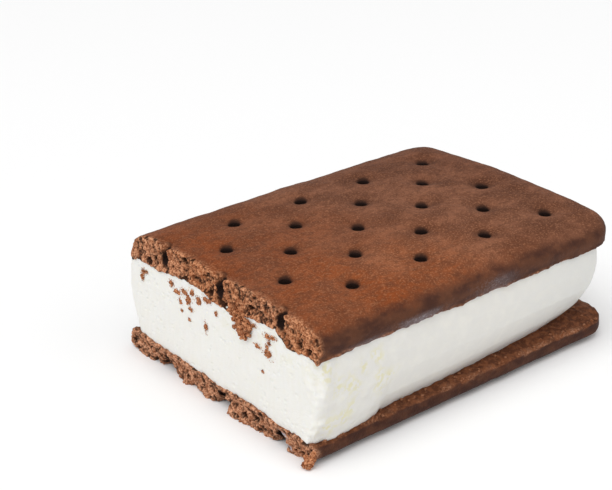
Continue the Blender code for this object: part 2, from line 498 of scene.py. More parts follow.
# %% The docking pattern
CORNER_RADIUS = 5.0 * MM
RIM_RADIUS = 2.0 * MM
SKIN_SPACING = 0.36 * MM
KNIFE_SET_BACK = 0.55 * MM  # the broken face lies this far behind the knife's plane
OPENED_DEPTH = 3.0 * MM  # the holes that the knife opened are less deep


def nearest_hole(co):
    """(the row of the nearest docking hole, how far away its middle is)"""
    row = min(len(ROWS) - 1, max(0, round((co.x - CUT_X) / ROW_PITCH)))
    near = []
    for i in range(max(0, row - 1), min(len(ROWS), row + 2)):
        count = ROWS[i]
        place = round((co.y - PATTERN_Y) / HOLE_PITCH + (count - 1) / 2)
        place = min(count - 1, max(0, place))
        y = PATTERN_Y + (place - (count - 1) / 2) * HOLE_PITCH
        x = CUT_X + i * ROW_PITCH + (i == 0) * KNIFE_SET_BACK
        near.append((math.hypot(co.x - x, co.y - y), i))
    away, row = min(near)
    return row, away


def beside_opened(y):
    """How far to the side the nearest of the three opened holes is."""
    return min(abs(y - PATTERN_Y - i * HOLE_PITCH) for i in (-1, 0, 1))


# %% [markdown]
# ## Docking pins
#
# A hole could be modelled face by face, but there are twenty-three of them in each wafer. It is
# easier to do as the bakery does. The roller's tapered pins are made as cones in one mesh, and a
# Boolean takes them away from the wafer. The pins of the opened row are a little thinner and
# shorter, because the knife went past the middle of them.

# %% Docking pins
def docking_pins(outer_z, up):
    """The roller's pins, in one mesh. They start a millimetre outside the wafer's outer face."""
    clear = 1.0 * MM
    length = HOLE_DEPTH + clear
    bm = bmesh.new()
    for x, y in HOLES:
        opened = x < CUT_X + 1.0 * MM
        raised = opened * up * (HOLE_DEPTH - OPENED_DEPTH)
        middle = Vector((x + opened * KNIFE_SET_BACK, y, outer_z + up * (clear - length / 2) + raised))
        wide_end = HOLE_MOUTH * (1.0 if opened else 1.12)
        bmesh.ops.create_cone(
            bm,
            cap_ends=True,
            segments=20,
            radius1=HOLE_FLOOR if up > 0 else wide_end,
            radius2=wide_end if up > 0 else HOLE_FLOOR,
            depth=length,
            matrix=Matrix.Translation(middle),
        )
    return object_from("docking_pins", bm)


# %% [markdown]
# ## A wafer blank
#
# Both wafers are one recipe. A block gets its two moulded corners and its rounded rim from bevels,
# and its docking holes from the pins. After that the skin is made even, and the blank is ready for
# sculpting. Each point also keeps how much painted shade it gets for lying deep in a hole. On the
# opened row the knife shows half a hole, and that painted shade is an oval.

# %% A wafer blank
TOP_OPENED_SHADE = (2.0 * MM, 1.7 * MM, 1.0 * MM)  # the opened holes' oval of painted shade: depth of its middle, half its height, half its width
BOTTOM_OPENED_SHADE = (2.1 * MM, 1.6 * MM, 0.95 * MM)


def wafer_blank(name, low, high, up):
    """Up is 1 if the wafer's outer face is on top, and -1 if it lies underneath."""
    outer_z = high.z if up > 0 else low.z
    bm = block(low, high)
    round_off(bm, lambda co: same(co.x, high.x), CORNER_RADIUS, 8)
    rim = [
        edge
        for edge in bm.edges
        if all(same(vert.co.z, outer_z) for vert in edge.verts)
        and not all(same(vert.co.x, low.x) for vert in edge.verts)
    ]
    bevel(bm, rim, RIM_RADIUS, 6)
    blank = object_from(name, bm)
    pins = docking_pins(outer_z, up)
    holes = blank.modifiers.new("Docking holes", "BOOLEAN")
    holes.operation = "DIFFERENCE"
    holes.object = pins
    skin = even_skin(blank, SKIN_SPACING)
    bpy.data.objects.remove(pins, do_unlink=True)
    bmesh.ops.smooth_vert(
        skin, verts=skin.verts, factor=0.5, use_axis_x=True, use_axis_y=True, use_axis_z=True
    )
    # painted shade inside each docking hole, and an oval of it on the opened row
    hole_shade = skin.verts.layers.float.new("hole_shade")
    middle, tall, wide = TOP_OPENED_SHADE if up > 0 else BOTTOM_OPENED_SHADE
    for vert in skin.verts:
        row, away = nearest_hole(vert.co)
        below = up * (outer_z - vert.co.z)
        if row == 0:
            oval = math.hypot(beside_opened(vert.co.y) / wide, (below - middle) / tall)
            vert[hole_shade] = ease(1.15 - oval, 0.0, 0.3) * (vert.co.x < CUT_X + 2.5 * MM)
        else:
            within = ease(HOLE_MOUTH * 1.4 - away, 0.0, 0.2 * MM)
            vert[hole_shade] = ease(below, -0.1 * MM, 0.35 * MM) * within
    print(name, len(skin.verts), "points to sculpt")
    return skin


# %% [markdown]
# ## Rims and dimples
#
# A baked wafer is thinner at its rims and dips towards each docking hole, because the pins held it
# down. Both are distances: how far a point lies in from the moulded sides, rounded at the corners,
# and how far from a hole.

# %% Rims and dimples
def inside_by(co, low, high):
    """How far a point lies inside the nearest moulded side."""
    gap_x = high.x - co.x
    gap_y = min(co.y - low.y, high.y - co.y)
    if gap_x < CORNER_RADIUS and gap_y < CORNER_RADIUS:
        return CORNER_RADIUS - math.hypot(CORNER_RADIUS - gap_x, CORNER_RADIUS - gap_y)
    return min(gap_x, gap_y)


def dimple(co, depth):
    """How far the skin is drawn down beside the nearest docking hole."""
    row, away = nearest_hole(co)
    wide = (0.5 + 0.1 * row) * hump(away, 0.0, 2.5 * MM)
    return depth * (wide + 0.9 * hump(away, 0.0, 1.5 * MM))


middle_hole = Vector((CUT_X + ROW_PITCH * 4, PATTERN_Y, 0.0))
print("at the middle hole the skin dips", round(dimple(middle_hole, 0.5 * MM) / MM, 2), "mm")


# %% [markdown]
# ## The broken edge
#
# A knife doesn't cut a frozen wafer cleanly. It snaps the crumb, which leaves grains standing and
# bubbles open. Two kinds of cellular noise give both: small cells for the grains, and larger ones, of
# which only some are dug out, for the bubbles. Each point on the cut is moved back by the sum. The
# depth of the pits is kept, so that the finish can paint shade into them.

# %% Breaking the cut face
GRAIN = 0.75 * MM
BUBBLE = 1.7 * MM


def bubble(co, plenty):
    """How deep an open bubble is here, from 0 to 1. Plenty is the share of cells that are open."""
    squashed = Vector((co.x * 0.6, co.y * 0.8, co.z * 1.15)) / BUBBLE
    distances, cells = noise.voronoi(squashed)
    open_here = noise.cell(cells[0] * 7.3 + Vector((0.5, 0.5, 0.5)))
    if open_here > 2 * plenty - 1:
        return 0.0
    radius = 0.26 + 0.22 * abs(noise.cell(cells[0] * 3.1))
    return ease(radius - distances[0], 0.0, 0.16)


def crease(co, size):
    """0 on top of a small round grain, up to 1 in the creases between grains."""
    distances, _ = noise.voronoi(co / size)
    return ease(distances[0], 0.15, 0.75)


def broken(co, plenty):
    """(how far the point moves back, how much painted shade its pit gets)"""
    pitted = bubble(co, plenty)
    grain = crease(co, GRAIN * 1.3)
    coarse = bumps(co, 0.9 * MM, 2.5)
    fine = bumps(co, 0.38 * MM, 6.5)
    wide = 0.14 * bumps(co, 5 * MM, 2.0) + 0.14 * bumps(co, 1.9 * MM, 4.0)
    back = 0.10 + wide + 0.16 * grain - 0.32 * coarse - 0.26 * fine + 1.1 * pitted
    pit_shade = 0.35 * grain - 1.3 * coarse - 1.25 * fine - 0.04 + 1.7 * pitted
    return back * MM, min(1.0, max(0.0, pit_shade))


# how far one point moves back, and the painted shade of its pit
back, pit_shade = broken(Vector((CUT_X, 0.0, TOP_INNER_Z)), 0.5)
print("one point of the cut moves back", round(back / MM, 2), "mm, and its hollow is", round(pit_shade, 2))


# %% [markdown]
# ## The top wafer's shape
#
# The top wafer lies on the ice cream like a lid that was pressed on by hand. It is tilted by half a
# degree, crowned in the middle, and its rims droop over the ice cream as a thin skirt. At the cut its
# lower edge goes up and down, because pieces broke off or were dragged down with the knife. All of
# this is worked out for each point of the blank, from where the point lies between the faces.

# %% The top wafer's shape
TILT = math.tan(math.radians(0.6))
CROWN = 0.9 * MM
CROWN_Y = -4.0 * MM
SHOULDER = 1.3 * MM
SKIRT = 0.9 * MM
END_BOW = 1.1 * MM
FUNNEL_SHADE_SHIFT = Vector((0.42, 0.52, 0.0)) * MM  # the painted shade of each hole's funnel is shifted this far, to its far side
PAINTED_LIGHT_USUAL = 0.36  # how much painted light the cocoa gets where nothing else says
CUT_LOWER_EDGE = [
    (-26, 19.0), (-23, 18.9), (-20, 18.3), (-18.5, 18.3), (-17, 19.1), (-15.5, 20.2), (-12, 20.1),
    (-9, 19.6), (-6, 19.0), (-3.5, 18.4), (1, 18.5), (3.5, 19.5), (7, 19.4), (13, 18.8), (16, 18.1),
    (24, 18.3),
]


def shape_top(bm):
    half = (TOP_HIGH.y - TOP_LOW.y) / 2
    middle_y = (TOP_HIGH.y + TOP_LOW.y) / 2
    for vert in bm.verts:
        co = vert.co.copy()
        up = share(co.z, TOP_INNER_Z, TOP_HIGH.z)
        along = share(co.x, CUT_X, TOP_HIGH.x)
        gap = inside_by(co, TOP_LOW, TOP_HIGH)
        across = (co.y - CROWN_Y) / half
        crown = CROWN * (0.35 * (2 * along - 1) ** 2 + 0.65 * across**2)
        shoulder = SHOULDER * (1 - share(gap, 0.0, 6.5 * MM)) ** 2
        skirt = SKIRT * (1 - share(gap, 0.0, 2.0 * MM)) ** 1.5 * (1.25 - 0.35 * along)
        unevenness = 0.20 * bumps(co, 9 * MM, 1.0) + 0.11 * bumps(co, 3 * MM, 2.0)
        unevenness += 0.04 * bumps(co, MM, 3.0)
        vert.co.z -= up * (crown + shoulder + dimple(co, 0.5 * MM) - unevenness * MM)
        ragged = 0.35 * bumps(co, 4 * MM, 5.0) + 0.22 * bumps(co, 1.7 * MM, 6.0)
        vert.co.z -= (1 - up) * skirt * (0.85 + ragged)
        vert.co.z -= TILT * (co.y - PATTERN_Y)
        near_cut = 1 - share(co.x, CUT_X, CUT_X + 2.5 * MM)
        lowest = profile(CUT_LOWER_EDGE, co.y)
        vert.co.z += near_cut * (1 - up) * (lowest - TOP_INNER_Z + TILT * (co.y - PATTERN_Y))
        side = (co.y - middle_y) / half
        vert.co.x += (END_BOW * (1 - side**2) - 0.45 * MM) * along**4
        outward = 0.35 * MM * math.sin(math.pi * up) + 0.2 * MM * bumps(co, 7 * MM, 6.0)
        rough = 0.35 + 0.8 * bumps(co, 2.1 * MM, 8.0) + 0.8 * bumps(co, 0.8 * MM, 9.0)
        lip = 0.35 * MM * ease(0.25 - up, 0.0, 0.2) * rough
        vert.co.y += math.copysign(outward + lip, side) * share(abs(side), 0.9, 1.0)
        vert.co.x += (outward + lip) * share(along, 0.95, 1.0)


# %% [markdown]
# ## Snapping the cut
#
# One call does both wafers. It moves the points near the cut by what `broken` says, and less next to
# the ice cream, where the crumb is stuck to it and stays in front. It also notes for each point how
# much painted shade its pit gets and how much it belongs to the cut, before the points move, because
# afterwards the walls of a pit face every way.

# %% Snapping the cut
def cut_facing(face):
    return face.normal.x < -0.3 and face.calc_center_median().x < CUT_X + 1.0 * MM


def break_cut(bm, plenty_at, edge_at, up):
    """Moves the cut's points, and returns how much painted shade and how much on the cut each one gets.

    The edge next to the ice cream stays in front of it, and is ragged. Up is 1 where that edge is
    the wafer's lower one.
    """
    pit_shades = {}
    for vert in bm.verts:
        co = vert.co.copy()
        depth = 1 - ease(co.x, CUT_X + 0.5 * MM, CUT_X + 1.8 * MM)
        if depth <= 0:
            continue
        back, pit_shade = broken(co, plenty_at(co))
        facing = ease(-vert.normal.x, -0.1, 0.4)
        hug = 1 - share(up * (co.z - edge_at(co.y)), 0.3 * MM, 1.2 * MM)
        vert.co.x += back * depth * (1 - 0.85 * hug) - 0.30 * MM * hug
        ragged = 0.28 * bumps(co, 1.5 * MM, 12.0) + 0.20 * bumps(co, 0.6 * MM, 13.0)
        vert.co.y += 0.15 * MM * bumps(co, 0.9 * MM, 14.0) * depth
        vert.co.z += (0.10 * bumps(co, 0.9 * MM, 15.0) * facing + ragged * hug) * MM * depth
        # the painted shade of the pit, and how much the point belongs to the cut
        pit_shades[vert] = (0.9 * pit_shade, depth * facing)
    return pit_shades


# %% [markdown]
# ## The top wafer
#
# Now the steps come together: blank, shape, finer squares on the cut, and the snapped face. Then each
# point is painted. The rims are dark and smooth, the skin is warmer towards the cut, with a painted
# pool of light in front and painted shade towards the far end, frost clings to the rim in a few
# places, and each hole has a funnel of painted shade, darker on its far side.

# %% The top wafer
def top_wafer():
    low = Vector((TOP_LOW.x, TOP_LOW.y, TOP_INNER_Z))
    high = Vector((TOP_HIGH.x - END_BOW, TOP_HIGH.y, TOP_HIGH.z))
    bm = wafer_blank("wafer_top_skin", low, high, 1)
    hole_shade = bm.verts.layers.float["hole_shade"]

    def hidden(face):
        middle = face.calc_center_median()
        inner = face.normal.z < -0.9 and middle.z < low.z + 0.2 * MM
        far_enough = CUT_X + 4 * MM < middle.x < high.x - 2.5 * MM
        return inner and far_enough and low.y + 2.5 * MM < middle.y < high.y - 2.5 * MM

    coarser(bm, hidden)
    shape_top(bm)
    finer(bm, cut_facing, times=2)

    def lower_half(co):
        return 1 - share(co.z, TOP_INNER_Z + 0.5 * MM, TOP_HIGH.z - 1.0 * MM)

    def lower_edge(y):
        return profile(CUT_LOWER_EDGE, y)

    pit_shades = break_cut(bm, lambda co: 0.25 + 0.65 * lower_half(co), lower_edge, 1)

    def paint(vert):
        co, normal = vert.co, vert.normal
        gap = inside_by(co, TOP_LOW, TOP_HIGH)
        pit_shade, on_cut = pit_shades.get(vert, (0.0, 0.0))
        side = ease(5.7 * MM - gap, 0.0, 5.3 * MM) * (0.3 + 0.7 * ease(0.98 - normal.z, 0.0, 0.55))
        lip = ease(TOP_INNER_Z - 0.2 * MM - co.z + 0.5 * MM * bumps(co, 2.5 * MM, 3.0), -0.3 * MM, 0.4 * MM)
        x, y, z = co.x / MM, co.y / MM, co.z / MM
        cool = ease(x * 0.6 + y * 0.35, -20, 6)
        frost = max(
            hump(x, -25, 4) * ease(20.0 - z, 0, 1.2) * 0.8,
            hump(x, -14.5, 4.5) * ease(20.8 - z, 0, 1.2),
            hump(x, 1.5, 4.0) * ease(22.2 - z, 0, 1.5) * 0.55,
            ease(3.0 * MM - (high.x + END_BOW - co.x), 0.0, 2.0 * MM) * ease(y, -8, 16) * 0.7,
            ease(2.5 * MM - (high.y - co.y), 0.0, 2.0 * MM) * 0.5,
        )
        on_side = ease(1.5 * MM - gap, -1.0 * MM, 1.0 * MM)
        _, away = nearest_hole(co)
        _, from_shade_middle = nearest_hole(co - FUNNEL_SHADE_SHIFT)
        # painted shade: dark in each hole's funnel, shifted to its far side, and faint in the dip round it
        funnel = max(1 - ease(from_shade_middle, 0.7 * MM, 1.35 * MM), 0.25 - 0.25 * ease(away, MM, 3 * MM))
        # painted light: a pool of light in front on the top, and painted shade towards the far end
        pale = PAINTED_LIGHT_USUAL + (1 - PAINTED_LIGHT_USUAL) * hump(x, -8, 18) * hump(y, -15, 8)
        pale -= PAINTED_LIGHT_USUAL * ease(x + y, 10, 36)
        rough_lip = lip * on_side * ease(bumps(co, 0.8 * MM, 23.0), -0.3, 0.4)
        return {
            "crumb": max(on_cut, 0.55 * rough_lip) * (1 - 0.6 * vert[hole_shade]),
            # painted shade: the pits of the cut, and inside the docking holes
            "pit": max(pit_shade * on_cut, vert[hole_shade]),
            "funnel": funnel * (1 - on_cut),
            "rim": side * (1 - on_cut),
            "inside": max(ease(-normal.z, 0.3, 0.8), 0.9 * lip * on_side),
            "pale": pale,
            "frost": frost * on_side * (1 - on_cut),
            "warm": (1 - cool) * (0.8 + 0.5 * bumps(co, 8 * MM, 21.0)),
        }

    return finished("top_wafer", bm, paint, cocoa)


wafer_top = top_wafer()
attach(wafer_top, "root")
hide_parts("wafer_top")

# %% [markdown]
# ## The bottom wafer
#
# This one lies outer face down, so its docking holes are underneath, and the knife has opened three
# of them from below. They show as little arches in the cut. It also sticks out past the ice cream
# along the front, as a ledge that slopes down a little to its edge and has crumbs lying on it. Where
# the knife came out below, chips have broken away, and one profile gives the line that is left.

# %% The bottom wafer's shape
CUT_UPPER_EDGE = [
    (-25, 4.3), (-23, 4.1), (-17, 3.9), (-15.5, 3.7), (-12, 4.1), (-6, 4.2), (-3, 4.0), (-1, 3.8),
    (0.5, 3.8), (2, 4.0), (6, 4.1), (10, 4.1), (14.2, 3.8), (17, 3.9), (20, 4.1), (22.5, 4.5),
    (24, 4.3),
]
CHIPPED_FOOT = [
    (-26, 1.9), (-24.8, -0.6), (-24.3, -1.3), (-23.4, -1.2), (-22.7, 0.6), (-21.5, 0.9), (-20, 0.2),
    (-18.2, -0.2), (-17.4, 1.8), (-15.6, 1.8), (-14.8, 0.2), (-12, 0.1), (-10, -0.2), (-5, -0.9),
    (-3.4, -0.8), (-2.4, 2.2), (-0.4, 2.1), (0.6, 0.0), (3.5, -0.5), (6, 0.2), (7.2, 0.6),
    (8.5, -0.6), (11, -0.1), (12.8, 0.6), (13.6, 2.6), (15.2, 2.4), (16.2, 0.6), (19, -0.2),
    (22, -0.2), (24, 0.0), (26, 0.2),
]
LEDGE_SLOPE = 0.7 * MM
CLEAR_OF_FLOOR = 0.02 * MM


def shape_bottom(bm):
    half = (BOTTOM_HIGH.y - BOTTOM_LOW.y) / 2
    middle_y = (BOTTOM_HIGH.y + BOTTOM_LOW.y) / 2
    for vert in bm.verts:
        co = vert.co.copy()
        up = share(co.z, 0.0, BOTTOM_HIGH.z)
        along = share(co.x, CUT_X, BOTTOM_HIGH.x)
        gap = inside_by(co, BOTTOM_LOW, BOTTOM_HIGH)
        slope = LEDGE_SLOPE * (1 - share(gap, 0.0, 4.5 * MM)) ** 1.3
        crumbly = 0.20 * bumps(co, 2.4 * MM, 3.0) + 0.22 * bumps(co, 1.1 * MM, 5.0)
        vert.co.z -= up * (slope - crumbly * MM)
        vert.co.z += (1 - up) * (dimple(co, 0.35 * MM) + 0.5 * MM * (1 - share(gap, 0.0, 5 * MM)) ** 2)
        near_cut = 1 - share(co.x, CUT_X, CUT_X + 3.0 * MM)
        vert.co.z += near_cut * up * (profile(CUT_UPPER_EDGE, co.y) - BOTTOM_HIGH.z + slope * 0.5)
        foot = profile(CHIPPED_FOOT, co.y)
        vert.co.x += foot * near_cut * (1 - share(co.z, 0.0, 2.2 * MM))
        side = (co.y - middle_y) / half
        vert.co.x += (END_BOW * (1 - side**2) - 1.4 * MM) * along**4
        outward = 0.2 * MM * math.sin(math.pi * up) + 0.25 * MM * bumps(co, 7 * MM, 6.0)
        edge = 0.4 * MM * ease(up, 0.7, 1.0) * bumps(co, 1.5 * MM, 8.0)
        vert.co.y += math.copysign(outward + edge, side) * share(abs(side), 0.9, 1.0)
        vert.co.x += (outward + edge) * share(along, 0.95, 1.0)
        tip = near_cut * ease(co.y, 20 * MM, BOTTOM_HIGH.y)
        vert.co.y += tip * (1.6 * MM * (1 - up) + 0.1 * MM * up)
        vert.co.z = max(vert.co.z, CLEAR_OF_FLOOR)


# %% [markdown]
# ## The bottom wafer
#
# The same steps as before, the other way up. Its hidden inner face is joined into big faces, all but
# the strip that shows as the ledge. Two glints of frost hang in the pits near the front corner.

# %% The bottom wafer
GLINTS = [(-17.4, 2.7), (-18.6, 1.1)]  # y and z of each
GLINT_STRENGTH = 9.0


def bottom_wafer():
    low = Vector(BOTTOM_LOW)
    high = Vector((BOTTOM_HIGH.x - END_BOW, BOTTOM_HIGH.y, BOTTOM_HIGH.z))
    bm = wafer_blank("wafer_bottom_skin", low, high, -1)
    hole_shade = bm.verts.layers.float["hole_shade"]

    def hidden(face):
        middle = face.calc_center_median()
        inner = face.normal.z > 0.9 and middle.z > high.z - 0.2 * MM
        far_enough = CUT_X + 4 * MM < middle.x < high.x - 8 * MM
        return inner and far_enough and low.y + 9 * MM < middle.y < high.y - 6 * MM

    coarser(bm, hidden)
    shape_bottom(bm)
    finer(bm, cut_facing, times=2)

    def upper_edge(y):
        return profile(CUT_UPPER_EDGE, y)

    pit_shades = break_cut(bm, lambda co: 0.4, upper_edge, -1)
    for vert in bm.verts:
        vert.co.z = max(vert.co.z, 0.0)

    def paint(vert):
        co, normal = vert.co, vert.normal
        gap = inside_by(co, BOTTOM_LOW, BOTTOM_HIGH)
        pit_shade, on_cut = pit_shades.get(vert, (0.0, 0.0))
        side = ease(1.9 * MM - gap, -1.5 * MM, 1.0 * MM) * ease(0.85 - normal.z, 0.0, 0.5)
        edge = ease(1.6 * MM - gap + 0.8 * MM * bumps(co, 2.2 * MM, 3.0), 0.2 * MM, 1.2 * MM)
        # painted shade in the cut round each opened hole
        funnel = 1 - ease(beside_opened(co.y) + 0.35 * co.z, 1.2 * MM, 2.3 * MM)
        worn = 0.35 * edge * ease(normal.z, 0.2, 0.6) * ease(bumps(co, 5 * MM, 7.0), -0.2, 0.4)
        glint = 0.0
        for y, z in GLINTS:
            beside = co.y / MM - y
            glint = max(glint, hump(beside, 0.0, 0.6) * hump(co.z / MM - 0.5 * beside, z, 0.2))
        return {
            "crumb": max(on_cut, worn),
            # painted shade: the pits of the cut, the cut round each opened hole, and inside the docking
            # holes
            "pit": max(pit_shade * on_cut, 0.5 * funnel * on_cut, vert[hole_shade]),
            "funnel": 0.0,
            # no painted light: the bottom wafer's skin takes the shaded tint all over
            "pale": 0.0,
            "rim": side * (1 - on_cut),
            "inside": ease(normal.z, 0.3, 0.8),
            "frost": GLINT_STRENGTH * glint * on_cut,
            "warm": 0.1,
        }

    return finished("bottom_wafer", bm, paint, cocoa)


wafer_bottom = bottom_wafer()
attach(wafer_bottom, "root")
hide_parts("wafer_bottom")

# %% [markdown]
# ## The ice cream
#
# The slab was filled into a mould between the two wafers, so its sides swell at mid height. Along
# the front it has shrunk back at its foot, more and more towards the far end, and bares the ledge.
# Its cut face is nearly flat. The knife leaves only faint waves, and the cold hard cream breaks
# away in a few tiny pits. It reaches a little into both wafers, so that no gap opens between them.
#
# Three profiles give the outline: where the foot runs along the front, and how each long side curves
# from bottom to top. A point of the block is moved out to them. The near corner was crushed by the
# knife, so noise that is stretched upwards makes ridges there.

# %% The ice cream's shape
SLAB_HALF = 25 * MM
FOOT_LINE = [
    (-35.5, -24.5), (-28, -24.2), (-24, -23.9), (-21.5, -23.4), (-20, -22.7), (-16, -22.5),
    (-5, -22.2), (8, -21.5), (18, -20.8), (26, -19.6), (30, -18.8), (33, -18.2),
]
FRONT_AT_CUT = [
    (3, -24.1), (4.2, -24.4), (7, -25.2), (11, -25.7), (15, -25.6), (19, -25.0), (20, -24.8),
]
BACK_AT_CUT = [
    (3, 23.2), (5.2, 23.8), (7.5, 24.7), (10.2, 25.4), (13.2, 25.7), (17.2, 25.4), (20, 24.4),
]
CREAM_FOOT = 3.4 * MM
CREAM_TOP = 19.7 * MM
CREAM_END = CREAM_HIGH.x - END_BOW - 1.9 * MM


def shape_cream(bm):
    for vert in bm.verts:
        co = vert.co.copy()
        up = share(co.z, CREAM_FOOT, CREAM_TOP)
        along = share(co.x, CUT_X, CREAM_END)
        side = co.y / SLAB_HALF
        if side < 0:
            shrunk = profile(FOOT_LINE, co.x) - profile(FOOT_LINE, CUT_X)
            edge = profile(FRONT_AT_CUT, co.z) + shrunk * (1 - share(co.z, 4.2 * MM, 19 * MM)) ** 2
        else:
            edge = profile(BACK_AT_CUT, co.z)
        vert.co.y = abs(side) * edge
        soft = ease(abs(side), 0.85, 1.0)
        corner = ease(-18 * MM - co.x, -6 * MM, 6 * MM) * (side < 0)
        dents = 0.05 * bumps(co, 4 * MM, 1.0) + 0.03 * bumps(co, 1.3 * MM, 2.0)
        lumps = corner * (0.22 * bumps(co, 3.2 * MM, 3.0) + 0.12 * bumps(co, 1.4 * MM, 4.0))
        vert.co.y += math.copysign(dents + lumps, side) * MM * soft
        swell = math.sin(math.pi * (0.12 + 0.76 * up)) ** 1.5
        vert.co.x += 1.2 * MM * (swell - 0.6) * max(0.0, 2 * along - 1) ** 4
        vert.co.x += END_BOW * along**4 * (1 - side**2) + dents * MM * ease(along, 0.97, 1.0)
        near_cut = 1 - share(co.x, CUT_X, CUT_X + 2.5 * MM)
        crushed = ease(-co.y, 20.5 * MM, 24 * MM) * ease(CUT_X + 5 * MM - co.x, 0, 4 * MM)
        tall = Vector((co.x, co.y, co.z * 0.4))
        ridge_y = 0.75 * bumps(tall, 3.0 * MM, 17.0) + 0.22 * bumps(co, 1.2 * MM, 18.0)
        ridge_x = 0.80 * bumps(tall, 2.4 * MM, 19.0) + 0.22 * bumps(co, 1.1 * MM, 20.0)
        vert.co.y += crushed * ridge_y * MM
        vert.co.x += crushed * ridge_x * MM
        vert.co.x += near_cut * 0.16 * MM * bumps(co, 8 * MM, 11.0)
        top = profile(CUT_LOWER_EDGE, co.y) + 0.35 * MM
        vert.co.z += near_cut * up * (top - CREAM_TOP)
        foot = profile(CUT_UPPER_EDGE, co.y) - 0.5 * MM
        vert.co.z += near_cut * (1 - up) * (foot - CREAM_FOOT)
        vert.co.z -= TILT * co.y * up * (1 - near_cut)


# %% [markdown]
# ## The slab
#
# A block again, with its far corners rounded as the mould had them and the cut corners only softened.
# The melted patches are placed one by one, since they lie only near the cut, and the finish breaks
# each into spots.

# %% The slab
MELTED_SPOTS = [
    (-33.6, 17.0, 1.1), (-31.2, 13.4, 0.7), (-29.0, 13.0, 0.8), (-27.5, 12.2, 0.6), (-23.3, 16.0, 0.7),
    (-22.6, 12.3, 0.7), (-22.4, 10.8, 0.9), (-20.7, 11.6, 0.7), (-29.6, 7.5, 0.8), (-28.3, 8.6, 0.7),
    (-32.6, 6.6, 0.9), (-31.4, 7.0, 0.6), (-26.0, 15.0, 0.5),
]


def ice_cream():
    low = Vector((CUT_X - 0.05 * MM, -SLAB_HALF, CREAM_FOOT))
    high = Vector((CREAM_END, SLAB_HALF, CREAM_TOP))
    bm = block(low, high)
    round_off(bm, lambda co: same(co.x, high.x), CORNER_RADIUS, 8)
    round_off(bm, lambda co: same(co.x, low.x) and same(co.y, high.y), 1.5 * MM, 5)
    round_off(bm, lambda co: same(co.x, low.x) and same(co.y, low.y), 2.2 * MM, 6)
    bm = even_skin(object_from("ice_cream_skin", bm), SKIN_SPACING)

    def hidden(face):
        middle = face.calc_center_median()
        far_enough = low.x + 3 * MM < middle.x < high.x - 3 * MM
        return abs(face.normal.z) > 0.9 and far_enough and abs(middle.y) < 22 * MM

    coarser(bm, hidden)
    shape_cream(bm)
    finer(bm, cut_facing, times=1)
    for vert in bm.verts:
        co = vert.co.copy()
        flat = ease(-vert.normal.x, 0.5, 0.95) * ease(CUT_X + 1.0 * MM - co.x, 0.0, 0.5 * MM)
        drag = 0.05 * bumps(Vector((0.0, co.y, co.z * 0.22)), 0.8 * MM, 31.0)
        pit = 0.13 * bubble(co * 2.0, 0.3)
        vert.co.x += flat * (drag + pit + 0.02 * bumps(co, 0.5 * MM, 33.0)) * MM

    def paint(vert):
        co, normal = vert.co, vert.normal
        cut = ease(-normal.x, 0.4, 0.85) * ease(CUT_X + 1.5 * MM - co.x, 0.0, 0.6 * MM)
        melted = 0.0
        if co.y < 0 and co.x < -15 * MM:
            for x, z, size in MELTED_SPOTS:
                away = math.hypot(co.x / MM - x, (co.z / MM - z) * 0.8) / (1.5 * size)
                away *= 1 + 0.5 * bumps(co, 0.9 * MM, 51.0)
                melted = max(melted, hump(away, 0.0, 1.0))
        # painted shade towards the far end of the long sides
        far = ease(co.x, 0.0, 34 * MM) * ease(abs(co.y), 20 * MM, 23 * MM)
        return {"cut": cut, "melted": melted * (1 - 0.6 * cut), "far": far}

    return finished("cut_ice_cream", bm, paint, vanilla)


slab = ice_cream()
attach(slab, "root")
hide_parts("ice_cream")

# %% [markdown]
# ## A crumb, and a smear of crumbs
#
# A crumb is a small icosphere, pulled out of shape by noise. Hundreds are needed, so most have only
# twenty faces. A smear is many small crumbs inside an ellipse, closer together towards its middle.
# The chance comes from a seeded generator, so that every run scatters them alike.

# %% A crumb, and a smear of crumbs
# loose crumbs get no painted shade, and the usual amount of painted light
LOOSE = {"rim": 0.0, "inside": 0.0, "pit": 0.0, "frost": 0.0, "funnel": 0.0, "pale": PAINTED_LIGHT_USUAL}


def add_crumb(bm, place, size, seed, detail=2):
    """One crumb: place and size are in millimetres."""
    made = bmesh.ops.create_icosphere(bm, subdivisions=detail, radius=0.5)["verts"]
    turn = Euler((seed * 1.3, seed * 2.1, seed * 0.7)).to_matrix()
    for vert in made:
        spot = turn @ vert.co
        lumpy = 1 + 0.5 * noise.noise(spot * 2.6 + Vector((seed, 0, 0)))
        lumpy += 0.35 * noise.noise(spot * 6.0 + Vector((0, seed, 0)))
        vert.co *= lumpy
    bmesh.ops.scale(bm, vec=Vector(size) * MM, verts=made)
    bmesh.ops.translate(bm, vec=Vector(place) * MM, verts=made)


def add_cluster(bm, chance, y, z, wide, high, grain, front, detail=1):
    """Small grains that lie together in an ellipse on the cut."""
    count = 5 + min(40, round(15.0 * wide * high / grain))
    for _ in range(count):
        away = chance.random() ** 0.6 / 2
        turn = chance.uniform(0, 2 * math.pi)
        size = grain * chance.uniform(0.5, 1.15)
        place = (
            CUT_X / MM - front * chance.uniform(0.2, 1.0),
            y + wide * away * math.cos(turn),
            z + high * away * math.sin(turn),
        )
        shape = (size * 0.7, size * chance.uniform(0.8, 1.3), size * chance.uniform(0.7, 1.1))
        add_crumb(bm, place, shape, chance.uniform(1, 90), detail)


# %% [markdown]
# ## Crumbs on the cut
#
# The knife drags crumbs of wafer down over the ice cream, where they freeze fast. One large flake
# still hangs from the top wafer, beside the middle hole, and lumps hang from the near corner of the
# bottom one. Each entry below is one smear: where it is, how wide and how high. Around each smear
# lies a wider, finer dusting.

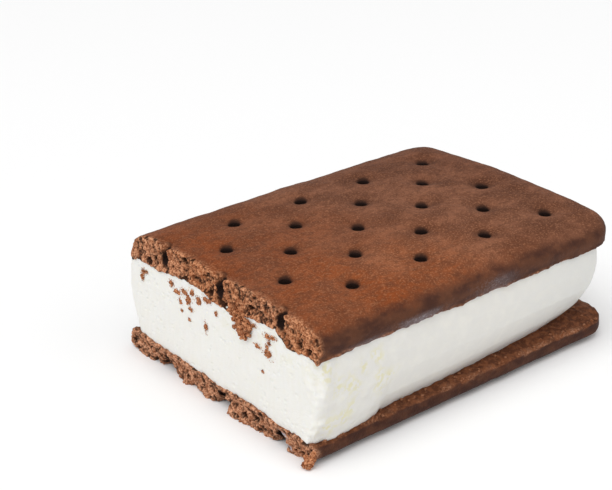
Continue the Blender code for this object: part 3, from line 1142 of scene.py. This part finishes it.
# %% Crumbs on the cut
STUCK_CRUMBS = [
    (20.9, 15.4, 0.6, 1.0), (20.4, 16.5, 0.8, 0.8), (19.5, 16.7, 0.4, 0.4), (12.2, 17.4, 1.0, 0.8),
    (10.5, 16.5, 1.8, 0.6), (9.7, 15.1, 0.8, 0.7), (8.5, 17.3, 1.5, 0.8), (7.4, 16.3, 1.2, 1.8),
    (6.3, 18.0, 1.0, 1.0), (6.8, 14.8, 0.8, 0.6), (4.5, 17.2, 1.2, 1.4), (2.5, 18.2, 1.5, 0.8),
    (1.5, 18.4, 0.8, 0.6), (9.5, 13.5, 0.4, 0.3), (7.3, 12.7, 0.4, 0.4), (2.7, 13.2, 0.7, 1.3),
    (-0.2, 16.8, 0.5, 0.8), (-4.8, 16.4, 0.4, 0.4), (-10.0, 18.8, 0.8, 0.5), (-11.0, 15.6, 1.2, 0.5),
    (-14.9, 18.6, 0.8, 0.5), (-13.5, 18.3, 1.4, 0.6), (-13.8, 17.3, 0.6, 0.5), (-13.3, 16.5, 0.5, 0.5),
    (-13.5, 15.4, 1.7, 1.3), (-12.1, 11.6, 0.4, 0.3),
]
HANGING_FLAKE = [
    (-6.0, 18.6, 2.6, 2.4), (-7.8, 18.4, 2.8, 2.6), (-6.6, 17.2, 1.9, 1.8), (-8.2, 17.2, 2.2, 2.0),
    (-7.5, 16.4, 1.8, 1.6), (-5.4, 19.4, 2.0, 1.6), (-9.0, 18.4, 1.4, 1.8),
]
CORNER_LUMPS = [
    (0.5, -23.9, 1.0, 1.7), (0.9, -23.5, 0.6, 1.2), (0.2, -24.4, 1.6, 1.3), (0.9, -24.3, 0.7, 1.0),
    (0.1, -22.9, 1.2, 1.1), (0.0, -24.5, 2.6, 1.0),
]


def cut_crumbs():
    chance = random.Random(11)
    bm = bmesh.new()
    for y, z, wide, high in STUCK_CRUMBS:
        grain = 0.33 + 0.10 * (wide + high) / 2
        add_cluster(bm, chance, y, z, wide, high, grain, 0.22)
        add_cluster(bm, chance, y, z, wide * 2.2, high * 2.2, 0.16, 0.12)
    for side, y, z, size in CORNER_LUMPS:
        add_crumb(bm, (CUT_X / MM - side, y, z), (size, size * 0.9, size), 20.0 + 3.0 * y, 3)
    for y, z, wide, high in HANGING_FLAKE:
        add_cluster(bm, chance, y, z, wide, high, 0.62, 0.65, 2)
    for vert in bm.verts:
        vert.co.z = max(vert.co.z, CLEAR_OF_FLOOR)

    def paint(vert):
        dark = ease(bumps(vert.co, 0.7 * MM, 41.0), 0.15, 0.5)
        return {**LOOSE, "crumb": 1.0, "pit": 0.45 * dark, "warm": 1.0}

    return finished("cut_crumbs", bm, paint, cocoa)


crumbs = cut_crumbs()
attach(crumbs, "root")


# %% [markdown]
# ## Crumbs on the ledge
#
# More crumbs have fallen on the ledge. Two in three lie along its outer edge, where they came off,
# and the rest anywhere between that and the foot of the ice cream. Each rests at the height that the
# sloping ledge has there.

# %% Crumbs on the ledge
LEDGE_CRUMBS = 75


def ledge_crumbs():
    chance = random.Random(5)
    bm = bmesh.new()
    outer = BOTTOM_LOW.y / MM + 0.3
    for i in range(LEDGE_CRUMBS):
        x = chance.uniform(-33, 30)
        foot = profile(FOOT_LINE, x * MM) / MM
        if i % 3:
            y = outer + abs(chance.gauss(0.0, 0.5))
        else:
            y = chance.uniform(outer, foot)
        size = chance.uniform(0.25, 0.75)
        z = BOTTOM_HIGH.z / MM - LEDGE_SLOPE / MM * (1 - share(y - outer, 0.0, 4.5)) ** 1.3
        add_crumb(bm, (x, y, z + 0.1), (size, size * 0.8, size * 0.7), 100.0 + i, 2)

    def paint(vert):
        return {**LOOSE, "crumb": 0.3, "inside": 0.8, "warm": 0.4}

    return finished("ledge_crumbs", bm, paint, cocoa)


loose = ledge_crumbs()
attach(loose, "root")

# %% [markdown]
# ## The table
#
# Food like this is usually shown on a white table that runs out of sight, so that nothing competes
# with it. One big square is enough for that.

# %% Table
floor_bm = bmesh.new()
bmesh.ops.create_grid(floor_bm, x_segments=1, y_segments=1, size=3.0)
floor_mesh = bpy.data.meshes.new("floor")
floor_bm.to_mesh(floor_mesh)
floor_bm.free()
floor = bpy.data.objects.new("floor", floor_mesh)
bpy.context.scene.collection.objects.link(floor)
paper = Finish("white_table")
paper_white = paper.blend(paper.grain(0.2), (0.93, 0.93, 0.93), (0.95, 0.95, 0.95))
paper.set(Base_Color=paper_white, Roughness=0.9, Specular_IOR_Level=0.1)
floor_mesh.materials.append(paper.material)
print("table", 2 * max(vert.co.x for vert in floor_mesh.vertices), "m across")


# %% [markdown]
# ## Light
#
# A white sky lights everything evenly. One large area light stands for the main soft box, up and to
# the left, and a weaker one fills the front. Large lights make soft shadows, which suits food. The
# view transform is the plain one, so that a white stays white and the browns keep their colour.

# %% Light
def soft_box(name, place, size, power):
    light = bpy.data.lights.new(name, "AREA")
    light.size = size
    light.energy = power
    obj = bpy.data.objects.new(name, light)
    obj.location = Vector(place)
    obj.rotation_euler = (-obj.location).to_track_quat("-Z", "Y").to_euler()
    bpy.context.scene.collection.objects.link(obj)
    print(name, round(obj.location.length, 2), "m away,", power, "W")


soft_box("main_box", place=(-0.9, -0.35, 1.8), size=1.6, power=24.0)
soft_box("fill_box", place=(0.25, -0.45, 0.45), size=0.5, power=0.6)
world = bpy.data.worlds.new("sky")
world.use_nodes = True
sky = world.node_tree.nodes["Background"]
sky.inputs["Color"].default_value = (1.0, 1.0, 1.0, 1.0)
sky.inputs["Strength"].default_value = 0.6
bpy.context.scene.world = world
bpy.context.scene.view_settings.view_transform = "Standard"
